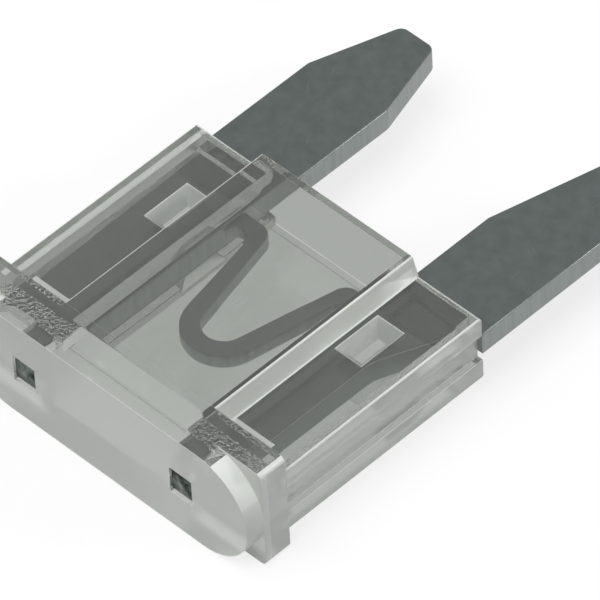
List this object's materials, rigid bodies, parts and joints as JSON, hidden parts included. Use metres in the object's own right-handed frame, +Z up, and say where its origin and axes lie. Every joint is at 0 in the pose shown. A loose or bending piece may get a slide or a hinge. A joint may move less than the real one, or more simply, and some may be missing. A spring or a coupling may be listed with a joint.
{
  "type": "automotive blade fuse",
  "caption": "Small clear-housing plug-in blade fuse: flat moulded body with a wider head, and a stamped strip whose thin curved link joins its blades.",
  "frame": {"origin": "under the middle of the whole fuse, on the surface that it lies on", "axes": "+Y along the blades, from the head to the tips; +X across the two blades; +Z up, out of one flat face"},
  "size_m": [0.011, 0.0162, 0.0036],
  "materials": {
    "clear_plastic": "clear injection-moulded plastic, glossy outside, finely roughened inside",
    "zinc_alloy": "dull rolled zinc strip with sheared edges"
  },
  "bodies": {
    "root": {"housing": "clear_plastic", "fuse_element": "zinc_alloy"}
  },
  "joints": []
}
